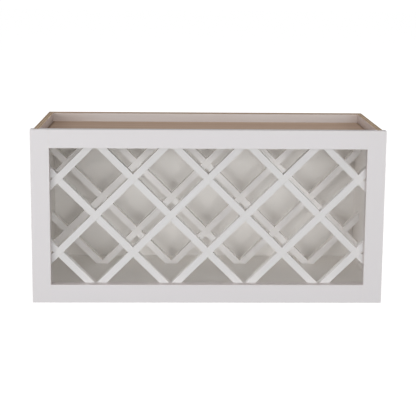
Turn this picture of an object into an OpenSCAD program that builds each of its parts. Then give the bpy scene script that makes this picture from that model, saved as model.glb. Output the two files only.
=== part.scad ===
// Wall wine rack: a face-frame wall cabinet, open at the front, with a diamond lattice
// behind the frame and a second one near the back. A bottle lies in two aligned square slots.
// Millimetres, +Z up, front towards -Y. The origin is the centre of the underside.

/* [Cabinet] */
// Overall width, across the face frame
width = 762; // [610:1:1070]
// Overall height
height = 381; // [330:1:460]
// Overall depth, from the front of the face frame to the wall
depth = 304.8; // [280:0.1:400]

/* [Face frame] */
// Thickness of the stiles and rails, front to back
frame_t = 19; // [16:0.5:25]
// Face width of each stile
stile_w = 40; // [32:0.5:60]
// Face width of the top rail
top_rail_w = 40; // [34:0.5:60]
// Face width of the bottom rail
bottom_rail_w = 40; // [32:0.5:60]
// How far the frame stands out past each side panel
reveal = 6.3; // [2:0.1:12]
// Thickness of the stub tenons on the rails
tenon_t = 6; // [4:0.5:7]
// Length of the stub tenons
tenon_l = 12; // [8:0.5:16]
// Shoulder above and below each tenon
tenon_shoulder = 6; // [3:0.5:12]

/* [Case] */
// Thickness of the side panels
side_t = 12; // [9:0.5:16]
// Thickness of the top and bottom panels
deck_t = 12; // [9:0.5:16]
// Thickness of the back panel
back_t = 12; // [9:0.5:16]
// Thickness of the hanging rails
hanging_rail_t = 12; // [9:0.5:19]
// Depth of the grooves and rabbets that hold the panel edges
groove_d = 6; // [3:0.5:6]
// Drop from the top edges of the case to the top panel
top_recess = 20; // [12:0.5:28]
// Rise from the bottom edges of the case to the bottom panel
bottom_recess = 18; // [10:0.5:26]

/* [Lattices] */
// Face width of a slat
slat_w = 15; // [10:0.5:22]
// Depth of a slat, front to back
slat_d = 19; // [12:0.5:25]
// Clear width of a bottle slot, square to the slats
slot_w = 100.3; // [84:0.1:125]
// Distance from the front of the face frame to the rear lattice
rear_setback = 218; // [120:1:240]
// Clearance at each side of a half lap
lap_fit = 0.1; // [0.05:0.05:0.4]
// Shortest slat worth cutting for a corner
min_slat = 60; // [30:1:90]

/* [Back screws] */
// Diameter of the screw heads
screw_head = 8; // [6:0.5:9]
// Diameter of the screw shanks
screw_shank = 4; // [3:0.5:5]
// Length of a screw, head included
screw_l = 35; // [25:1:50]
// Number of screws along each panel edge
screws_per_edge = 5; // [3:1:8]
// Distance from the end screws to the inside of the case
screw_inset = 40; // [20:1:80]
// Radial clearance round each shank
screw_fit = 0.05; // [0.02:0.01:0.2]

/* [Hidden] */
front_y = -depth / 2;
back_y = depth / 2;
frame_back_y = front_y + frame_t;
back_panel_y = back_y - back_t;

case_w = width - 2 * reveal;
inside_w = case_w - 2 * side_t;
opening_w = width - 2 * stile_w;

floor_z = bottom_recess + deck_t;
ceiling_z = height - top_recess - deck_t;
lattice_z = (floor_z + ceiling_z) / 2;
inside_h = ceiling_z - floor_z;

// The slats of one direction lie slat_pitch apart, the first pair astride the centre.
slat_pitch = slot_w + slat_w;
half_span = (inside_w + inside_h) / 2 / sqrt(2);
slats = 2 * floor((half_span - min_slat / 2) / slat_pitch + 0.5);
slat_reach = inside_w + inside_h;
front_lattice_y = frame_back_y;
rear_lattice_y = front_y + rear_setback;

screw_span = inside_w - 2 * screw_inset;
screw_smooth = 24;
over = 1;

FRAME_COLOR = "whitesmoke";
SLAT_COLOR = "gainsboro";
CASE_COLOR = "lightgray";
PLY_COLOR = "tan";
SCREW_COLOR = "goldenrod";

FRONT_UP = [for (i = [1:slats]) str("front_slat_up_", i)];
FRONT_DOWN = [for (i = [1:slats]) str("front_slat_down_", i)];
REAR_UP = [for (i = [1:slats]) str("rear_slat_up_", i)];
REAR_DOWN = [for (i = [1:slats]) str("rear_slat_down_", i)];

// Turns a front view, drawn in X and Z, into a solid from y to y + d.
module front_view(y, d) {
    translate([0, y + d, 0]) rotate([90, 0, 0]) linear_extrude(d) children();
}

// A board between two corners.
module board(low, high) {
    translate(low) cube(high - low);
}

module mirror_if(flip) {
    mirror([flip ? 1 : 0, 0, 0]) children();
}

// The space that a rail's tenons fill, from one stile's mortise to the other.
module tenon_bar(low_z, rail_w) {
    reach = opening_w / 2 + tenon_l;
    mid_y = front_y + frame_t / 2;
    board([-reach, mid_y - tenon_t / 2, low_z + tenon_shoulder],
          [reach, mid_y + tenon_t / 2, low_z + rail_w - tenon_shoulder]);
}

// One side panel's outline, which fills its groove in the stile and its rabbet at the back.
module side_body() {
    board([inside_w / 2, frame_back_y - groove_d, 0], [case_w / 2, back_y, height]);
}

// Outline of the top or bottom panel: edges in the side panels, a tongue in the rail.
module deck_body(low_z) {
    half_w = inside_w / 2 + groove_d;
    board([-half_w, frame_back_y, low_z], [half_w, back_panel_y, low_z + deck_t]);
    board([-opening_w / 2, frame_back_y - groove_d, low_z],
          [opening_w / 2, frame_back_y + over, low_z + deck_t]);
}

module top_deck_body() {
    deck_body(ceiling_z);
}

module bottom_deck_body() {
    deck_body(bottom_recess);
}

module back_body() {
    half_w = inside_w / 2 + groove_d;
    board([-half_w, back_panel_y, 0], [half_w, back_y, height]);
}

module stile() {
    difference() {
        board([opening_w / 2, front_y, 0], [width / 2, frame_back_y, height]);
        tenon_bar(0, bottom_rail_w);
        tenon_bar(height - top_rail_w, top_rail_w);
        side_body();
    }
}

module stile_left() {
    color(FRAME_COLOR) mirror_if(true) stile();
}

module stile_right() {
    color(FRAME_COLOR) mirror_if(false) stile();
}

module rail_body(low_z, rail_w) {
    board([-opening_w / 2, front_y, low_z], [opening_w / 2, frame_back_y, low_z + rail_w]);
    tenon_bar(low_z, rail_w);
}

module top_rail() {
    color(FRAME_COLOR) difference() {
        rail_body(height - top_rail_w, top_rail_w);
        top_deck_body();
    }
}

module bottom_rail() {
    color(FRAME_COLOR) difference() {
        rail_body(0, bottom_rail_w);
        bottom_deck_body();
    }
}

module side_panel() {
    difference() {
        side_body();
        top_deck_body();
        bottom_deck_body();
        back_body();
    }
}

module side_left() {
    color(CASE_COLOR) mirror_if(true) side_panel();
}

module side_right() {
    color(CASE_COLOR) mirror_if(false) side_panel();
}

module top_panel() {
    color(PLY_COLOR) difference() {
        top_deck_body();
        screw_holes();
    }
}

module bottom_panel() {
    color(CASE_COLOR) difference() {
        bottom_deck_body();
        screw_holes();
    }
}

module back_panel() {
    color(CASE_COLOR) difference() {
        back_body();
        screw_holes();
    }
}

module hanging_rail(low_z, high_z) {
    board([-inside_w / 2, back_panel_y - hanging_rail_t, low_z],
          [inside_w / 2, back_panel_y, high_z]);
}

module upper_hanging_rail() {
    color(CASE_COLOR) hanging_rail(height - top_recess, height);
}

module lower_hanging_rail() {
    color(CASE_COLOR) hanging_rail(0, bottom_recess);
}

// A countersunk screw, driven from the back. gap widens the shank to make its hole.
module screw(gap = 0) {
    shank_r = screw_shank / 2 + gap;
    head_r = screw_head / 2;
    rotate([90, 0, 0]) {
        cylinder(h = screw_l + gap, r = shank_r, $fn = screw_smooth);
        cylinder(h = head_r - shank_r, r1 = head_r, r2 = shank_r, $fn = screw_smooth);
    }
}

// Puts its children at each screw: a row into the rear edge of either panel.
module at_screws() {
    step = screw_span / (screws_per_edge - 1);
    for (z = [bottom_recess + deck_t / 2, ceiling_z + deck_t / 2])
        for (i = [0:screws_per_edge - 1])
            translate([i * step - screw_span / 2, back_y, z]) children();
}

module screw_holes() {
    at_screws() screw(screw_fit);
}

module back_screws() {
    color(SCREW_COLOR) at_screws() screw();
}

// Offset of slat i from the centre of the lattice, square to the slat.
function slat_offset(i) = (i - (slats + 1) / 2) * slat_pitch;

// A strip at 45 degrees in front view: up = 1 climbs to the right, up = -1 falls.
module strip(up, offset, w) {
    rotate(up * 45) translate([-slat_reach, offset - w / 2]) square([2 * slat_reach, w]);
}

// One slat, cut off at the panels and halved where the slats of the other direction cross.
module slat(i, up, y) {
    lap_y = up > 0 ? y + slat_d / 2 : y - over;
    lap_d = slat_d / 2 + over;
    color(SLAT_COLOR) translate([0, 0, lattice_z]) difference() {
        front_view(y, slat_d) intersection() {
            square([inside_w, inside_h], center = true);
            strip(up, slat_offset(i), slat_w);
        }
        for (j = [1:slats])
            front_view(lap_y, lap_d) strip(-up, slat_offset(j), slat_w + 2 * lap_fit);
    }
}

stile_left();
stile_right();
top_rail();
bottom_rail();
side_left();
side_right();
top_panel();
bottom_panel();
back_panel();
upper_hanging_rail();
lower_hanging_rail();
back_screws();
for (i = [1:slats]) {
    slat(i, 1, front_lattice_y);
    slat(i, -1, front_lattice_y);
    slat(i, 1, rear_lattice_y);
    slat(i, -1, rear_lattice_y);
}
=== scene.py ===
import math
from collections import namedtuple

import bmesh
import bpy
from mathutils import Matrix, Vector


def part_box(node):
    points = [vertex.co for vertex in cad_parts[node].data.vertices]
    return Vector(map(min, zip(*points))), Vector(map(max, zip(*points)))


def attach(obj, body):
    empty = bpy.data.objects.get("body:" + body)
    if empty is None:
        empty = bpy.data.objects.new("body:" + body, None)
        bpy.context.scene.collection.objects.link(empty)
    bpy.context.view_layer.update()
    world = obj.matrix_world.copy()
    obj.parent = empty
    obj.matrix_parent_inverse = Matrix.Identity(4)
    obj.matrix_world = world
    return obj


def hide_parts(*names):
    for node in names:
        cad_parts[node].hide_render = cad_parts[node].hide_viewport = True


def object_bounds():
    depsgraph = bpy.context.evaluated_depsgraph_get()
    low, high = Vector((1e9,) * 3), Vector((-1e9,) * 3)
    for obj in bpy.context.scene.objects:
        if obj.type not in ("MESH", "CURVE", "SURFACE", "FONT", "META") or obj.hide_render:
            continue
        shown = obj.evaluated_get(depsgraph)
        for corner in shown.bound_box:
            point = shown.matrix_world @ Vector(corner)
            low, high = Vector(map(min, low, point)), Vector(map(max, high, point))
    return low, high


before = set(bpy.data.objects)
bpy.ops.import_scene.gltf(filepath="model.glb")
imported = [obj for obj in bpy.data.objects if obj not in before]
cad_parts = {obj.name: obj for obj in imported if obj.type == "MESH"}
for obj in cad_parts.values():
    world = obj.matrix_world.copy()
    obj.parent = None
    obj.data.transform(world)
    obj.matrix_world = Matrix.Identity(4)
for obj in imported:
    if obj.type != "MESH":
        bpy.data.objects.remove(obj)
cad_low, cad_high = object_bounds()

# The finishes, light and camera for a wall wine rack. Metres, +Z up, front towards -Y.
MM = 0.001

# Camera, fitted to the corners of the cabinet: metres, degrees, and the lens for a 36 mm sensor.
CAMERA_PLACE = (-0.0618, -2.4658, 0.7097)
CAMERA_TURN = (80.465, -0.488, -1.409)
CAMERA_LENS = 94.87
CAMERA_SHIFT = -0.12

# The light that reaches the cabinet from all round, how often it passes on between the white faces
# inside, and the white that the camera sees behind the cabinet.
ROOM_LIGHT = 0.12
LIGHT_BOUNCES = 12
BACKDROP_WHITE = 1.1

# The floor: its width, the light that it gives off, and the share of light that it throws back.
FLOOR_SIZE = 40.0
FLOOR_GLOW = 0.985
FLOOR_TONE = 0.12

# Name, azimuth, elevation, width, height, and the light that it lays on a surface turned to it.
SOFTBOXES = (
    ("softbox_left", -26, 7, 2.6, 1.8, 0.365),
    ("softbox_right", 15, 7, 2.6, 1.8, 0.30),
    ("softbox_middle", -5, 7, 3.6, 1.8, 0.06),
    ("softbox_left_side", -84, 8, 3.6, 2.4, 0.30),
    ("softbox_right_side", 86, 8, 3.6, 2.4, 0.30),
    ("softbox_back", 178, 4, 4.4, 3.0, 0.62),
    ("softbox_top", -20, 80, 4.0, 4.0, 0.44),
)
SOFTBOX_DISTANCE = 5.0

# Eased edges: their widths, then the steps in each, the least corner in degrees that gets one, and
# the gap that the corners of a mesh are welded over first.
FRAME_EASE = 0.2 * MM
SLAT_EASE = 0.15 * MM
PANEL_EASE = 0.2 * MM
EASE_STEPS = 2
EASE_ANGLE = 40
WELD_GAP = 0.001 * MM

# The screws: counts, then sizes as shares of the head's radius.
SCREW_SIDES = 24
SCREW_COLUMNS = 5
SHANK_SHARE = 0.5
CROSS_REACH = 0.52
CROSS_HALF_WIDTH = 0.13
CROSS_DEPTH = 0.42
# The foot of the cross as a share of its mouth, then the length and the tip of the point as shares
# of the shank's radius.
CROSS_TAPER = 0.55
POINT_SHARE = 2.5
TIP_SHARE = 0.1
# How far each screw is turned past the one before it, and one row past the other, in radians.
COLUMN_TURN = 0.9
ROW_TURN = 2.3

# Places that the finishes are measured from. The raw strips of the side panels run from the two
# strip heights up and down.
strip_above_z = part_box("top_panel")[1].z
strip_below_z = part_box("bottom_panel")[0].z
inner_half_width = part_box("side_right")[0].x
opening_half_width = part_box("stile_right")[0].x
opening_low_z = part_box("bottom_rail")[1].z
opening_high_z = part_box("top_rail")[0].z


def tone(red, green, blue):
    """An sRGB colour, 0 to 255 a channel, as a linear one."""
    def linear(value):
        value /= 255
        return value / 12.92 if value <= 0.04045 else ((value + 0.055) / 1.055) ** 2.4
    return (linear(red), linear(green), linear(blue), 1.0)


PLAIN_WHITE = (1.0, 1.0, 1.0, 1.0)
FRAME_WHITE = tone(218, 215, 217)
# Painted shade: the faces inside the frame's opening darker and pinker than its front.
FRAME_INNER_PAINTED_SHADE = tone(204, 196, 196)
FRONT_SLAT_WHITE = tone(214, 213, 213)
# Painted light: the long sides of the front slats whiter than their faces.
FRONT_SLAT_SIDE_PAINTED_LIGHT = tone(232, 230, 229)
# Painted light: the rear slats whiter than the front ones, and their sides whiter again.
REAR_SLAT_PAINTED_LIGHT_WHITE = tone(234, 232, 231)
REAR_SLAT_SIDE_PAINTED_LIGHT = tone(251, 249, 247)
# Painted light: the whites inside the cabinet lighter than the frame's, the right side's inner face
# lightest.
CASE_PAINTED_LIGHT_WHITE = tone(232, 230, 227)
RIGHT_SIDE_PAINTED_LIGHT_WHITE = tone(248, 245, 243)
# Painted light: the top and bottom panels lighter, and lighter again towards the back.
DECK_PAINTED_LIGHT_WHITE = tone(237, 235, 232)
DECK_REAR_PAINTED_LIGHT_WHITE = tone(246, 244, 241)
THIN_PAINT = tone(222, 216, 211)
WASHED_WHITE = tone(211, 208, 208)
MIST_GREY = tone(203, 191, 188)
PLY_LIGHT = tone(202, 175, 154)
PLY_DARK = tone(170, 141, 119)
PLY_PORE = tone(120, 92, 70)
PLY_CORE = tone(142, 112, 84)
EDGE_LIGHT = tone(226, 202, 174)
EDGE_DARK = tone(196, 171, 143)
GLUE_AND_SHADE_BROWN = tone(84, 62, 46)
ZINC = tone(216, 198, 150)
ZINC_SHADE = tone(182, 158, 104)

# A layer of a finish. Its height is in metres.
Layer = namedtuple("Layer", "colour roughness height")

# A patch of stain, darkening, painted shade or thin paint: how far from its place it shows in full,
# where it is gone, and how much of it shows in full.
Patch = namedtuple("Patch", "full gone share")
THIN_ARRIS = Patch(0.1 * MM, 1.1 * MM, 0.45)
# Painted shade on the side panels' raw strips, near the top and bottom panels.
FOOT_PAINTED_SHADE = Patch(0.0, 14.0 * MM, 0.36)
RIM_STAIN = Patch(2.2 * MM, 4.4 * MM, 0.38)
REAR_STAIN = Patch(0.0, 130.0 * MM, 0.14)
# Darker along each corner of the top panel with a side panel.
CORNER_DARKENING = Patch(1.5 * MM, 7.0 * MM, 0.30)
# Painted shade on the top panel near the side panels, and over its left half.
END_PAINTED_SHADE = Patch(0.0, 60.0 * MM, 0.24)
LEFT_HALF_PAINTED_SHADE = Patch(0.0, 400.0 * MM, 0.09)
# Painted shade at the ends of the hanging rails, beside the side panels.
LEFT_END_PAINTED_SHADE = Patch(0.0, 140.0 * MM, 0.24)
RIGHT_END_PAINTED_SHADE = Patch(0.0, 35.0 * MM, 0.20)

# Where one finish gives way to the next: the start and end of the change, as distances from a face.
FACE_FADE = (0.05 * MM, 0.15 * MM)
# The next three place the painted shade inside the frame's opening and the painted light on the slats'
# sides.
FRAME_FACE_FADE = (0.3 * MM, 0.6 * MM)
OPENING_FADE = (-0.25 * MM, -0.05 * MM)
SLAT_FACE_FADE = (0.1 * MM, 0.4 * MM)
SIDE_FACE_FADE = (1.0 * MM, 2.0 * MM)
BACK_FACE_FADE = (0.5 * MM, 0.9 * MM)
# How far the change to a raw strip reaches on each side of the height where the strip starts.
STRIP_FADE = 0.2 * MM
# Where the painted light on the white of the top and bottom panels grows, from front to back.
DECK_PAINTED_LIGHT_FADE = (-60.0 * MM, 110.0 * MM)

# Lumps to a metre of the noises that are the same in every direction.
CLOUD_SCALE = 5.0
PEEL_SCALE = 620.0
SPECK_SCALE = 90.0
PLY_WANDER_SCALE = 30.0
SAWN_SCALE = 1600.0
BLOTCH_SCALE = 130.0
MIST_SCALE = 260.0
MIST_DRIFT_SCALE = 14.0
ZINC_SCALE = 500.0

# Lumps to a metre of the noises that are drawn out. On faces: along the grain, across it and into
# the wood.
BRUSH_MARKS = (9.0, 420.0, 420.0)
GRAIN_DRIFT = (1.3, 4.0, 1.0)
GRAIN_FIGURE = (0.9, 26.0, 1.0)
GRAIN_RINGS = (1.4, 150.0, 1.0)
GRAIN_FIBRES = (16.0, 900.0, 900.0)
GRAIN_PORES = (60.0, 1500.0, 1500.0)
# On cut edges: along the edge, through the plies and upwards.
PLY_FIBRES = (35.0, 2500.0, 400.0)
# In the wash on the hanging rails: along the rail, into it and upwards.
WASH_DRIFT = (4.0, 1.0, 30.0)
WASH_GRAIN = (12.0, 1.0, 700.0)

# Lacquer: how far its thin edge wanders, then how much of each noise shows in its colour, gloss
# and height.
THIN_ARRIS_WANDER = 1.2 * MM
MOTTLE_BRUSH = 0.35
MOTTLE_SWING = 0.35
MOTTLE_SHARE = 0.10
SATIN = 0.46
DECK_SATIN = 0.36
GLOSS_SWING = 0.10
THIN_DULLNESS = 0.15
PEEL_HEIGHT = 0.009 * MM
BRUSH_HEIGHT = 0.014 * MM
CLOUD_HEIGHT = 0.04 * MM
# How far along the noise each slat takes its grain from the slat before it.
SLAT_GRAIN_STEP = 1.7

# Raw plywood: how far its grain wanders, then how much of each noise shows in its colour, gloss
# and height.
GRAIN_WANDER = 110.0 * MM
FIGURE_SHARE = 0.45
RING_SHARE = 0.55
FIBRE_SHARE = 0.35
GRAIN_SWING = 0.3
PORE_RANGE = (0.20, 0.32)
PORE_SHARE = 0.55
BLOTCH_RANGE = (0.0, 0.16)
RAW_ROUGHNESS = 0.68
RAW_GLOSS_SWING = 0.2
FIBRE_HEIGHT = 0.03 * MM
PORE_DEPTH = 0.05 * MM

# Cut edges of plywood. The wander and the glue line are in thicknesses of one ply.
PLIES = 5
PLY_WANDER = 0.25
GLUE_WIDTH = (0.03, 0.12)
GLUE_SHARE = 0.6
END_GRAIN_SWING = 0.25
SAWN_ROUGHNESS = 0.75
SAWN_HEIGHT = 0.04 * MM
GLUE_DEPTH = 0.06 * MM
# How much darker the top and bottom edges of the back panel and hanging rails are.
REAR_EDGE_DARKENING = 0.45
EDGE_BLOTCHES = 0.42

# Sprayed and washed wood: how much the paint hides, then how unevenly it lies.
STRIP_COVER = 0.70
STRIP_BLOTCHES = 0.26
OVERSPRAY_COVER = 0.04
MIST_DRIFT_SHARE = 0.5
MIST_SWING = 0.35
WASH_COVER = 0.80
WASH_DRIFT_SHARE = 0.20
WASH_GRAIN_SHARE = 0.16

# Zinc plate: how much its clouds show in its colour, gloss and height.
ZINC_SWING = 0.3
ZINC_ROUGHNESS = 0.32
ZINC_GLOSS_SWING = 0.2
ZINC_HEIGHT = 0.006 * MM

# A Mix node has sockets of several kinds under one name, so those for colours go by number.
MIX_FACTOR, MIX_FIRST, MIX_SECOND, MIX_RESULT = 0, 6, 7, 2


class Term:
    """A socket in a node tree, with arithmetic that adds nodes to the tree."""

    def __init__(self, tree, socket):
        self.tree = tree
        self.socket = socket

    def math(self, operation, *others):
        """A Math node that takes this value first."""
        return self.tree.add("Math", {"operation": operation}, dict(enumerate((self, *others))))

    def math_after(self, operation, first):
        """A Math node that takes this value second."""
        return self.tree.add("Math", {"operation": operation}, {0: first, 1: self})

    def __add__(self, other):
        return self.math("ADD", other)

    def __sub__(self, other):
        return self.math("SUBTRACT", other)

    def __rsub__(self, other):
        return self.math_after("SUBTRACT", other)

    def __mul__(self, other):
        return self.math("MULTIPLY", other)

    def __truediv__(self, other):
        return self.math("DIVIDE", other)

    def __rtruediv__(self, other):
        return self.math_after("DIVIDE", other)

    def __abs__(self):
        return self.math("ABSOLUTE")

    __radd__ = __add__
    __rmul__ = __mul__

    def rise(self, start, end):
        """0 up to start, 1 from end on, and a soft rise between them."""
        values = {"Value": self, "From Min": start, "From Max": end}
        return self.tree.add("MapRange", {"interpolation_type": "SMOOTHSTEP"}, values)

    def fall(self, start, end):
        """1 up to start, 0 from end on, and a soft fall between them."""
        return 1.0 - self.rise(start, end)

    def spread(self, swing):
        """A value about 0 as a share: 0 at -swing, 1 at swing, and a soft rise between them."""
        return self.rise(-swing, swing)

    def within(self, patch):
        """How much of a patch shows at this distance from its place."""
        return self.fall(patch.full, patch.gone) * patch.share


def smaller(a, b):
    return a.math("MINIMUM", b)


def larger(a, b):
    return a.math("MAXIMUM", b)


class Tree:
    """The node tree of a material or a world. Every node in it comes from add()."""

    def __init__(self, owner):
        owner.use_nodes = True
        self.nodes = owner.node_tree.nodes
        self.links = owner.node_tree.links
        self.nodes.clear()

    def add(self, kind, settings=None, values=None, out=0):
        """Adds a node with its settings, then fills its sockets with values or links."""
        node = self.nodes.new("ShaderNode" + kind)
        for key, value in (settings or {}).items():
            setattr(node, key, value)
        for key, value in (values or {}).items():
            if isinstance(value, Term):
                self.links.new(value.socket, node.inputs[key])
            else:
                node.inputs[key].default_value = value
        return Term(self, node.outputs[out]) if node.outputs else None


class Finish(Tree):
    """A material under construction, with the place that it colours as place, x, y and z."""

    def __init__(self, name):
        self.material = bpy.data.materials.new(name)
        super().__init__(self.material)
        self.place = self.add("TexCoord", out="Object")
        self.x, self.y, self.z = (self.add("SeparateXYZ", values={0: self.place}, out=axis)
                                  for axis in "XYZ")

    def grain(self, axes):
        """The directions along the grain, across it and into the wood, from their axes' names."""
        return tuple(getattr(self, axis) for axis in axes)

    def noise(self, where, scale, detail=2.0, roughness=0.5):
        """Noise about 0, from -0.5 to 0.5, with scale lumps to a metre."""
        values = {"Vector": where, "Scale": scale, "Detail": detail, "Roughness": roughness}
        return self.add("TexNoise", values=values) - 0.5

    def streaks(self, directions, scales, detail=2.0, roughness=0.5):
        """Noise about 0 with its own lumps to a metre in each of three directions."""
        values = {socket: way * scale for socket, way, scale in zip("XYZ", directions, scales)}
        return self.noise(self.add("CombineXYZ", values=values), 1.0, detail, roughness)

    def mix(self, factor, first, second):
        """Mixes two colours, each a link or a constant."""
        values = {MIX_FACTOR: factor, MIX_FIRST: first, MIX_SECOND: second}
        return self.add("Mix", {"data_type": "RGBA"}, values, out=MIX_RESULT)

    def tint(self, layer, factor, colour):
        """The same layer with its colour drawn towards another one."""
        return layer._replace(colour=self.mix(factor, layer.colour, colour))

    def over(self, factor, under, top):
        """Lays one layer over another: factor is how much of the top one shows."""
        def between(a, b):
            return a + (b - a) * factor
        return Layer(self.mix(factor, under.colour, top.colour),
                     between(under.roughness, top.roughness),
                     between(under.height, top.height))

    def shade(self, layer, metallic=0.0):
        """Closes the material with one shader for the layer."""
        normal = self.add("Bump", values={"Height": layer.height, "Distance": 1.0})
        values = {"Base Color": layer.colour, "Roughness": layer.roughness,
                  "Normal": normal, "Metallic": metallic}
        return self.close(self.add("BsdfPrincipled", values=values))

    def close(self, shader):
        self.add("OutputMaterial", values={"Surface": shader})
        return self.material


def lacquer(finish, colour, grain, edge, matt=SATIN):
    """Satin white lacquer on wood. edge is the distance to the nearest arris, where it is thin."""
    cloud = finish.noise(finish.place, CLOUD_SCALE, detail=3.0)
    peel = finish.noise(finish.place, PEEL_SCALE, detail=1.0)
    brush = finish.streaks(grain, BRUSH_MARKS, detail=3.0, roughness=0.6)
    speck = finish.noise(finish.place, SPECK_SCALE, detail=4.0, roughness=0.65)
    thin = (edge + speck * THIN_ARRIS_WANDER).within(THIN_ARRIS)
    mottle = (cloud + brush * MOTTLE_BRUSH).spread(MOTTLE_SWING) * MOTTLE_SHARE
    painted = finish.mix(thin, finish.mix(mottle, colour, THIN_PAINT), THIN_PAINT)
    roughness = matt + cloud * GLOSS_SWING + brush * GLOSS_SWING + thin * THIN_DULLNESS
    height = peel * PEEL_HEIGHT + brush * BRUSH_HEIGHT + cloud * CLOUD_HEIGHT
    return Layer(painted, roughness, height)


def veneer(finish, grain):
    """The raw face of plywood."""
    along, across, deep = grain
    drift = finish.streaks(grain, GRAIN_DRIFT)
    wavy = (along, across + drift * GRAIN_WANDER, deep)
    figure = finish.streaks(wavy, GRAIN_FIGURE)
    rings = finish.streaks(wavy, GRAIN_RINGS, detail=3.0, roughness=0.6)
    fibre = finish.streaks(grain, GRAIN_FIBRES, detail=3.0, roughness=0.7)
    shade = figure * FIGURE_SHARE + rings * RING_SHARE + fibre * FIBRE_SHARE
    wood = finish.mix(shade.spread(GRAIN_SWING), PLY_DARK, PLY_LIGHT)
    pore = finish.streaks(grain, GRAIN_PORES, detail=1.0).rise(*PORE_RANGE) * PORE_SHARE
    height = fibre * FIBRE_HEIGHT - pore * PORE_DEPTH
    return Layer(finish.mix(pore, wood, PLY_PORE), RAW_ROUGHNESS + fibre * RAW_GLOSS_SWING, height)


def ply_edge(finish, through, start, thickness, along, darker_by=0.0):
    """The cut edge of plywood: plies of alternate grain with thin glue lines between them."""
    wander = finish.noise(finish.place, PLY_WANDER_SCALE) * PLY_WANDER
    sheet = (through - start) * (PLIES / thickness) + wander
    in_ply = sheet.math("FRACT")
    is_turned = (sheet * 0.5).math("FRACT").math("GREATER_THAN", 0.5)
    glue = smaller(in_ply, 1.0 - in_ply).fall(*GLUE_WIDTH)
    fibre = finish.streaks((along, through, finish.z), PLY_FIBRES, detail=3.0)
    sawn = finish.noise(finish.place, SAWN_SCALE)
    long_grain = finish.mix(fibre.spread(GRAIN_SWING), EDGE_DARK, EDGE_LIGHT)
    end_grain = finish.mix(sawn.spread(END_GRAIN_SWING), PLY_CORE, EDGE_DARK)
    wood = finish.mix(is_turned, long_grain, end_grain)
    colour = finish.mix(darker_by, finish.mix(glue * GLUE_SHARE, wood, GLUE_AND_SHADE_BROWN), PLY_CORE)
    height = sawn * SAWN_HEIGHT - glue * GLUE_DEPTH
    return Layer(colour, SAWN_ROUGHNESS + sawn * RAW_GLOSS_SWING, height)


def blotched(finish, wood, share):
    """Raw wood with darker spots a few millimetres wide: share is how dark they are."""
    spots = finish.noise(finish.place, BLOTCH_SCALE, roughness=0.6)
    return finish.tint(wood, spots.rise(*BLOTCH_RANGE) * share, PLY_PORE)


def sprayed(finish, bare, painted, cover):
    """Bare wood under a mist of paint: cover is how much of it the paint hides."""
    mist = finish.noise(finish.place, MIST_SCALE, detail=4.0, roughness=0.75)
    drift = finish.noise(finish.place, MIST_DRIFT_SCALE)
    amount = (mist + drift * MIST_DRIFT_SHARE + (cover - 0.5)).spread(MIST_SWING)
    return finish.over(amount, bare, painted)


def edge_of_board(finish, low, high):
    """Distance from a point on a board's surface to its nearest arris: the middle one of three."""
    a, b, c = (smaller(place - near, far - place)
               for place, near, far in zip((finish.x, finish.y, finish.z), low, high))
    return larger(smaller(a, b), smaller(larger(a, b), c))


def on_face(distance):
    """1 on one face of a board and 0 on its others, from the distance to that face."""
    return distance.fall(*FACE_FADE)


def top_and_bottom(finish, low, high):
    """1 on the upper and lower faces of a board."""
    return larger(on_face(high.z - finish.z), on_face(finish.z - low.z))


def frame_lacquer(name, axes):
    """Lacquer for one stile or rail, with painted shade on the faces inside the opening: darker and
    pinker there.
    """
    finish = Finish(name + "_lacquer")
    low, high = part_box(name)
    from_side = opening_half_width - abs(finish.x)
    from_rail = smaller(finish.z - opening_low_z, opening_high_z - finish.z)
    in_opening = smaller(from_side, from_rail).rise(*OPENING_FADE)
    behind_face = (finish.y - low.y).rise(*FRAME_FACE_FADE)
    # Painted shade: darker and pinker on the faces inside the opening.
    coat_with_painted_shading = finish.mix(in_opening * behind_face, FRAME_WHITE, FRAME_INNER_PAINTED_SHADE)
    edge = edge_of_board(finish, low, high)
    return finish.shade(lacquer(finish, coat_with_painted_shading, finish.grain(axes), edge))


def slat_lacquer(name, slats, climb, white, side_painted_light):
    """Lacquer for the slats of one direction: climb is 1 for those that rise to the right, else -1.

    The slats lie at 45 degrees. The two middle ones reach from floor to ceiling, so their boxes
    give the width, pitch and middle height of them all.
    """
    finish = Finish(name)
    middle = len(slats) // 2
    low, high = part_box(slats[middle])
    half_root = math.sqrt(0.5)
    width = (high.x - low.x - (high.z - low.z)) * half_root
    pitch = abs(low.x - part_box(slats[middle - 1])[0].x) * half_root
    height = finish.z - (low.z + high.z) / 2
    along = (finish.x + height * climb) * half_root
    across = (height - finish.x * climb) * half_root
    row = across / pitch
    to_side = width / 2 - abs(row.math("FRACT") - 0.5) * pitch
    to_face = smaller(finish.y - low.y, high.y - finish.y)
    # Painted light: the sides of the slats whiter than their faces.
    coat_with_painted_shading = finish.mix(to_face.rise(*SLAT_FACE_FADE), white, side_painted_light)
    grain = (along + row.math("FLOOR") * SLAT_GRAIN_STEP, across, finish.y)
    return finish.shade(lacquer(finish, coat_with_painted_shading, grain, larger(to_side, to_face)))


def raw_strip(finish, painted):
    """The inner face of a side panel past the top and bottom panels: raw wood under a mist of paint,
    with painted shade near those panels.
    """
    mist = painted._replace(colour=MIST_GREY)
    misted = sprayed(finish, veneer(finish, finish.grain("zyx")), mist, STRIP_COVER)
    to_joint = smaller(abs(finish.z - strip_above_z), abs(finish.z - strip_below_z))
    # Painted shade, darker towards the joints with the top and bottom panels.
    darkening = to_joint.within(FOOT_PAINTED_SHADE)
    return finish.tint(blotched(finish, misted, STRIP_BLOTCHES), darkening, PLY_PORE)


def side_edge(finish, low, high, to_outer):
    """The cut edge of a side panel, stained along its outer arris and towards the back."""
    plies = ply_edge(finish, finish.x, low.x, high.x - low.x, finish.y)
    darkening = to_outer.within(RIM_STAIN) + (high.y - finish.y).within(REAR_STAIN)
    return finish.tint(blotched(finish, plies, EDGE_BLOTCHES), darkening, PLY_PORE)


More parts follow.
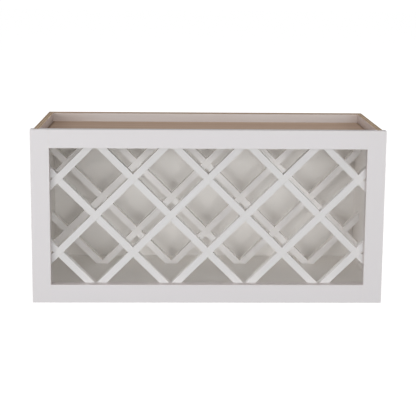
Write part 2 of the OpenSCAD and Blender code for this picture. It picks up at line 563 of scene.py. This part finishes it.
def side_finish(name):
    """A side panel: lacquered faces, cut edges, and raw strips past the top and bottom panels."""
    finish = Finish(name + "_finish")
    low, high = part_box(name)
    is_right = high.x > 0.0
    to_outer = abs(finish.x - (high.x if is_right else low.x))
    inside = to_outer.rise(*SIDE_FACE_FADE)
    # Painted light: the right side's inner face whiter than the left one's.
    white = finish.mix(inside, FRAME_WHITE, RIGHT_SIDE_PAINTED_LIGHT_WHITE if is_right else CASE_PAINTED_LIGHT_WHITE)
    painted = lacquer(finish, white, finish.grain("zyx"), edge_of_board(finish, low, high))
    above = (finish.z - strip_above_z).spread(STRIP_FADE)
    below = (strip_below_z - finish.z).spread(STRIP_FADE)
    faces = finish.over(larger(above, below) * inside, painted, raw_strip(finish, painted))
    cut = larger(top_and_bottom(finish, low, high), on_face(high.y - finish.y))
    return finish.shade(finish.over(cut, faces, side_edge(finish, low, high, to_outer)))


def deck_finish(name, raw_above):
    """The top or bottom panel: lacquered inside the cabinet and raw plywood outside it."""
    finish = Finish(name + "_finish")
    low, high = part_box(name)
    grain = finish.grain("xyz")
    # Painted light: lighter towards the back.
    white = finish.mix(finish.y.rise(*DECK_PAINTED_LIGHT_FADE), DECK_PAINTED_LIGHT_WHITE, DECK_REAR_PAINTED_LIGHT_WHITE)
    painted = lacquer(finish, white, grain, edge_of_board(finish, low, high), DECK_SATIN)
    to_side = inner_half_width - abs(finish.x)
    # Darker along each corner with a side panel; painted shade near the side panels and over the left
    # half.
    darkening = to_side.within(CORNER_DARKENING) + to_side.within(END_PAINTED_SHADE)
    darkening += (finish.x - low.x).within(LEFT_HALF_PAINTED_SHADE)
    darkened = finish.tint(veneer(finish, grain), darkening, GLUE_AND_SHADE_BROWN)
    bare = sprayed(finish, darkened, painted, OVERSPRAY_COVER)
    outside = on_face(high.z - finish.z if raw_above else finish.z - low.z)
    return finish.shade(finish.over(outside, painted, bare))


def back_finish(name):
    """The back panel: lacquered in front, raw plywood behind and along its edges."""
    finish = Finish(name + "_finish")
    low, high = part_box(name)
    grain = finish.grain("xzy")
    painted = lacquer(finish, CASE_PAINTED_LIGHT_WHITE, grain, edge_of_board(finish, low, high))
    behind = (finish.y - low.y).rise(*BACK_FACE_FADE)
    faces = finish.over(behind, painted, veneer(finish, grain))
    cut = ply_edge(finish, finish.y, low.y, high.y - low.y, finish.x, REAR_EDGE_DARKENING)
    return finish.shade(finish.over(top_and_bottom(finish, low, high), faces, cut))


def hanging_rail_finish(name):
    """A hanging rail: plywood under a thin wash of paint, with raw upper and lower edges and painted
    shade at its ends.
    """
    finish = Finish(name + "_finish")
    low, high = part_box(name)
    grain = finish.grain("xzy")
    # The wash has the gloss and height of lacquer, but one even white.
    painted = lacquer(finish, CASE_PAINTED_LIGHT_WHITE, grain, edge_of_board(finish, low, high))
    washed = painted._replace(colour=WASHED_WHITE)
    drift = finish.streaks(finish.grain("xyz"), WASH_DRIFT)
    lines = finish.streaks(finish.grain("xyz"), WASH_GRAIN, detail=3.0)
    # Painted shade at the ends beside the side panels: the wash thins there and the wood shows darker.
    end_shade = (finish.x - low.x).within(LEFT_END_PAINTED_SHADE) + (high.x - finish.x).within(RIGHT_END_PAINTED_SHADE)
    cover = WASH_COVER + drift * WASH_DRIFT_SHARE + lines * WASH_GRAIN_SHARE - end_shade
    faces = finish.over(cover, veneer(finish, grain), washed)
    cut = ply_edge(finish, finish.y, low.y, high.y - low.y, finish.x, REAR_EDGE_DARKENING)
    return finish.shade(finish.over(top_and_bottom(finish, low, high), faces, cut))


def zinc_finish():
    """Yellow zinc plate on the screws."""
    finish = Finish("yellow_zinc")
    cloud = finish.noise(finish.place, ZINC_SCALE, detail=3.0)
    colour = finish.mix(cloud.spread(ZINC_SWING), ZINC_SHADE, ZINC)
    plate = Layer(colour, ZINC_ROUGHNESS + cloud * ZINC_GLOSS_SWING, cloud * ZINC_HEIGHT)
    return finish.shade(plate, metallic=1.0)


def floor_finish():
    """White floor that glows a little, so that it stays pale round the cabinet."""
    finish = Finish("studio_floor")
    matt = finish.add("BsdfDiffuse", values={"Color": (FLOOR_TONE, FLOOR_TONE, FLOOR_TONE, 1.0)})
    glow = finish.add("Emission", values={"Strength": FLOOR_GLOW})
    return finish.close(finish.add("AddShader", values={0: matt, 1: glow}))


def paint(name, material):
    """Gives a CAD node its one material."""
    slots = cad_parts[name].data.materials
    slots.clear()
    slots.append(material)


def ease(name, width):
    """Rounds the arrises of a CAD node a little."""
    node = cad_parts[name]
    weld = node.modifiers.new("weld", "WELD")
    weld.merge_threshold = WELD_GAP
    bevel = node.modifiers.new("ease", "BEVEL")
    bevel.width = width
    bevel.segments = EASE_STEPS
    bevel.limit_method = "ANGLE"
    bevel.angle_limit = math.radians(EASE_ANGLE)


def finish_frame():
    for name, axes in (("stile_left", "zxy"), ("stile_right", "zxy"),
                       ("top_rail", "xzy"), ("bottom_rail", "xzy")):
        paint(name, frame_lacquer(name, axes))
        ease(name, FRAME_EASE)


def finish_case():
    for name in ("side_left", "side_right"):
        paint(name, side_finish(name))
        ease(name, PANEL_EASE)
    for name in ("upper_hanging_rail", "lower_hanging_rail"):
        paint(name, hanging_rail_finish(name))
        ease(name, PANEL_EASE)
    paint("top_panel", deck_finish("top_panel", raw_above=True))
    paint("bottom_panel", deck_finish("bottom_panel", raw_above=False))
    paint("back_panel", back_finish("back_panel"))


def finish_lattices():
    # The rear slats and the sides of all the slats get lighter whites: painted light.
    for place, white, side_painted_light in (("front", FRONT_SLAT_WHITE, FRONT_SLAT_SIDE_PAINTED_LIGHT),
                                     ("rear", REAR_SLAT_PAINTED_LIGHT_WHITE, REAR_SLAT_SIDE_PAINTED_LIGHT)):
        for way, climb in (("up", 1), ("down", -1)):
            start = f"{place}_slat_{way}_"
            slats = sorted(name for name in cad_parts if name.startswith(start))
            material = slat_lacquer(f"{place}_{way}_slats", slats, climb, white, side_painted_light)
            for name in slats:
                paint(name, material)
                ease(name, SLAT_EASE)


def link(item):
    bpy.context.scene.collection.objects.link(item)
    return item


def add_object(name, shape, material):
    """Makes a finished bmesh an object of the scene."""
    mesh = bpy.data.meshes.new(name)
    shape.to_mesh(mesh)
    shape.free()
    mesh.materials.append(material)
    return link(bpy.data.objects.new(name, mesh))


def only(kind, geometry):
    """The vertices, edges or faces in what a bmesh operator returns."""
    return [item for item in geometry if isinstance(item, kind)]


def start_cross(screw, head_r):
    """Lays the mouth of the cross recess: a grid of nine squares without its corners."""
    bmesh.ops.create_grid(screw, x_segments=3, y_segments=3, size=1.0)
    # Parts the grid's inner lines, at a third of its size, from those at its rim.
    between_lines = 0.5
    corners = [face for face in screw.faces
               if all(abs(place) > between_lines for place in face.calc_center_median().xy)]
    bmesh.ops.delete(screw, geom=corners, context="FACES")
    for vert in screw.verts:
        for axis in (0, 1):
            share = CROSS_REACH if abs(vert.co[axis]) > between_lines else CROSS_HALF_WIDTH
            vert.co[axis] = math.copysign(share * head_r, vert.co[axis])


def sink_cross(screw, head_r):
    """Pushes the cross down into the head and returns the edges of its open mouth."""
    cover = list(screw.faces)
    foot = only(bmesh.types.BMVert, bmesh.ops.extrude_face_region(screw, geom=cover)["geom"])
    bmesh.ops.delete(screw, geom=[face for face in cover if face.is_valid], context="FACES")
    bmesh.ops.scale(screw, verts=foot, vec=(CROSS_TAPER, CROSS_TAPER, 1.0))
    bmesh.ops.translate(screw, verts=foot, vec=(0.0, 0.0, -CROSS_DEPTH * head_r))
    return [edge for edge in screw.edges if edge.is_boundary]


def screw_mesh(head_r, length):
    """A countersunk screw with a cross recess. Its head is at the origin and its point towards -Y."""
    screw = bmesh.new()
    start_cross(screw, head_r)
    mouth = sink_cross(screw, head_r)
    bmesh.ops.create_circle(screw, segments=SCREW_SIDES, radius=head_r)
    rim = [edge for edge in screw.edges if edge.is_wire]
    bmesh.ops.triangle_fill(screw, use_beauty=True, edges=mouth + rim)
    shank_r = SHANK_SHARE * head_r
    for radius, depth in ((shank_r, head_r - shank_r),
                          (shank_r, length - POINT_SHARE * shank_r),
                          (TIP_SHARE * shank_r, length)):
        ring = bmesh.ops.extrude_edge_only(screw, edges=rim)["geom"]
        verts = only(bmesh.types.BMVert, ring)
        rim = [edge for edge in only(bmesh.types.BMEdge, ring) if edge.is_boundary]
        narrower = radius / verts[0].co.xy.length
        bmesh.ops.scale(screw, verts=verts, vec=(narrower, narrower, 1.0))
        bmesh.ops.translate(screw, verts=verts, vec=(0.0, 0.0, -depth - verts[0].co.z))
    bmesh.ops.contextual_create(screw, geom=rim)
    bmesh.ops.recalc_face_normals(screw, faces=screw.faces)
    bmesh.ops.rotate(screw, verts=screw.verts, matrix=Matrix.Rotation(-math.pi / 2, 3, "X"))
    mesh = bpy.data.meshes.new("one_screw")
    screw.to_mesh(mesh)
    screw.free()
    return mesh


def add_screws():
    """Ten countersunk screws with cross recesses, each turned its own way, in place of the plain ones.

    Their rows stand at the middle of the top and bottom panels, so the box of them all reaches one
    head's radius past the middle of the top panel.
    """
    low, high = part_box("back_screws")
    deck_low, deck_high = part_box("top_panel")
    head_r = high.z - (deck_low.z + deck_high.z) / 2
    one = screw_mesh(head_r, high.y - low.y)
    step = (high.x - low.x - 2 * head_r) / (SCREW_COLUMNS - 1)
    every = bmesh.new()
    for row, z in enumerate((low.z + head_r, high.z - head_r)):
        for column in range(SCREW_COLUMNS):
            first = len(every.verts)
            every.from_mesh(one)
            every.verts.ensure_lookup_table()
            fresh = every.verts[first:]
            turn = Matrix.Rotation(COLUMN_TURN * column + ROW_TURN * row, 3, "Y")
            bmesh.ops.rotate(every, verts=fresh, matrix=turn)
            bmesh.ops.translate(every, verts=fresh, vec=(low.x + head_r + column * step, high.y, z))
    screws = add_object("cross_recess_screws", every, zinc_finish())
    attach(screws, "root")
    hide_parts("back_screws")


def add_camera():
    data = bpy.data.cameras.new("camera")
    data.lens = CAMERA_LENS
    data.shift_y = CAMERA_SHIFT
    camera = link(bpy.data.objects.new("camera", data))
    camera.location = CAMERA_PLACE
    camera.rotation_euler = [math.radians(angle) for angle in CAMERA_TURN]
    bpy.context.scene.camera = camera


def add_softbox(name, azimuth, elevation, width, height, share):
    """A soft light aimed at the cabinet. Azimuth 0 is straight in front of it, 90 on its right."""
    target = (cad_low + cad_high) / 2
    a, e = math.radians(azimuth), math.radians(elevation)
    way = Vector((math.sin(a) * math.cos(e), -math.cos(a) * math.cos(e), math.sin(e)))
    data = bpy.data.lights.new(name, "AREA")
    data.shape = "RECTANGLE"
    data.size = width
    data.size_y = height
    data.energy = share * (math.pi * SOFTBOX_DISTANCE) ** 2
    light = link(bpy.data.objects.new(name, data))
    light.location = target + way * SOFTBOX_DISTANCE
    light.rotation_euler = way.to_track_quat("Z", "Y").to_euler()
    light.visible_camera = False
    # The one behind would shine back off the lacquer at a flat angle.
    light.visible_glossy = name != "softbox_back"


def add_room():
    """Even light from all round, and plain white where the camera sees past the floor."""
    world = bpy.data.worlds.new("room")
    bpy.context.scene.world = world
    room = Tree(world)
    seen = room.add("LightPath", out="Is Camera Ray")
    levels = {"Value": seen, "To Min": ROOM_LIGHT, "To Max": BACKDROP_WHITE}
    strength = room.add("MapRange", values=levels)
    light = room.add("Background", values={"Color": PLAIN_WHITE, "Strength": strength})
    room.add("OutputWorld", values={"Surface": light})


def add_floor():
    sheet = bmesh.new()
    bmesh.ops.create_grid(sheet, x_segments=1, y_segments=1, size=FLOOR_SIZE / 2)
    floor = add_object("floor", sheet, floor_finish())
    floor.visible_diffuse = False
    floor.visible_shadow = False


finish_frame()
finish_case()
finish_lattices()
add_screws()
add_camera()
add_room()
add_floor()
for softbox in SOFTBOXES:
    add_softbox(*softbox)
bpy.context.scene.view_settings.view_transform = "Standard"
bpy.context.scene.cycles.diffuse_bounces = LIGHT_BOUNCES
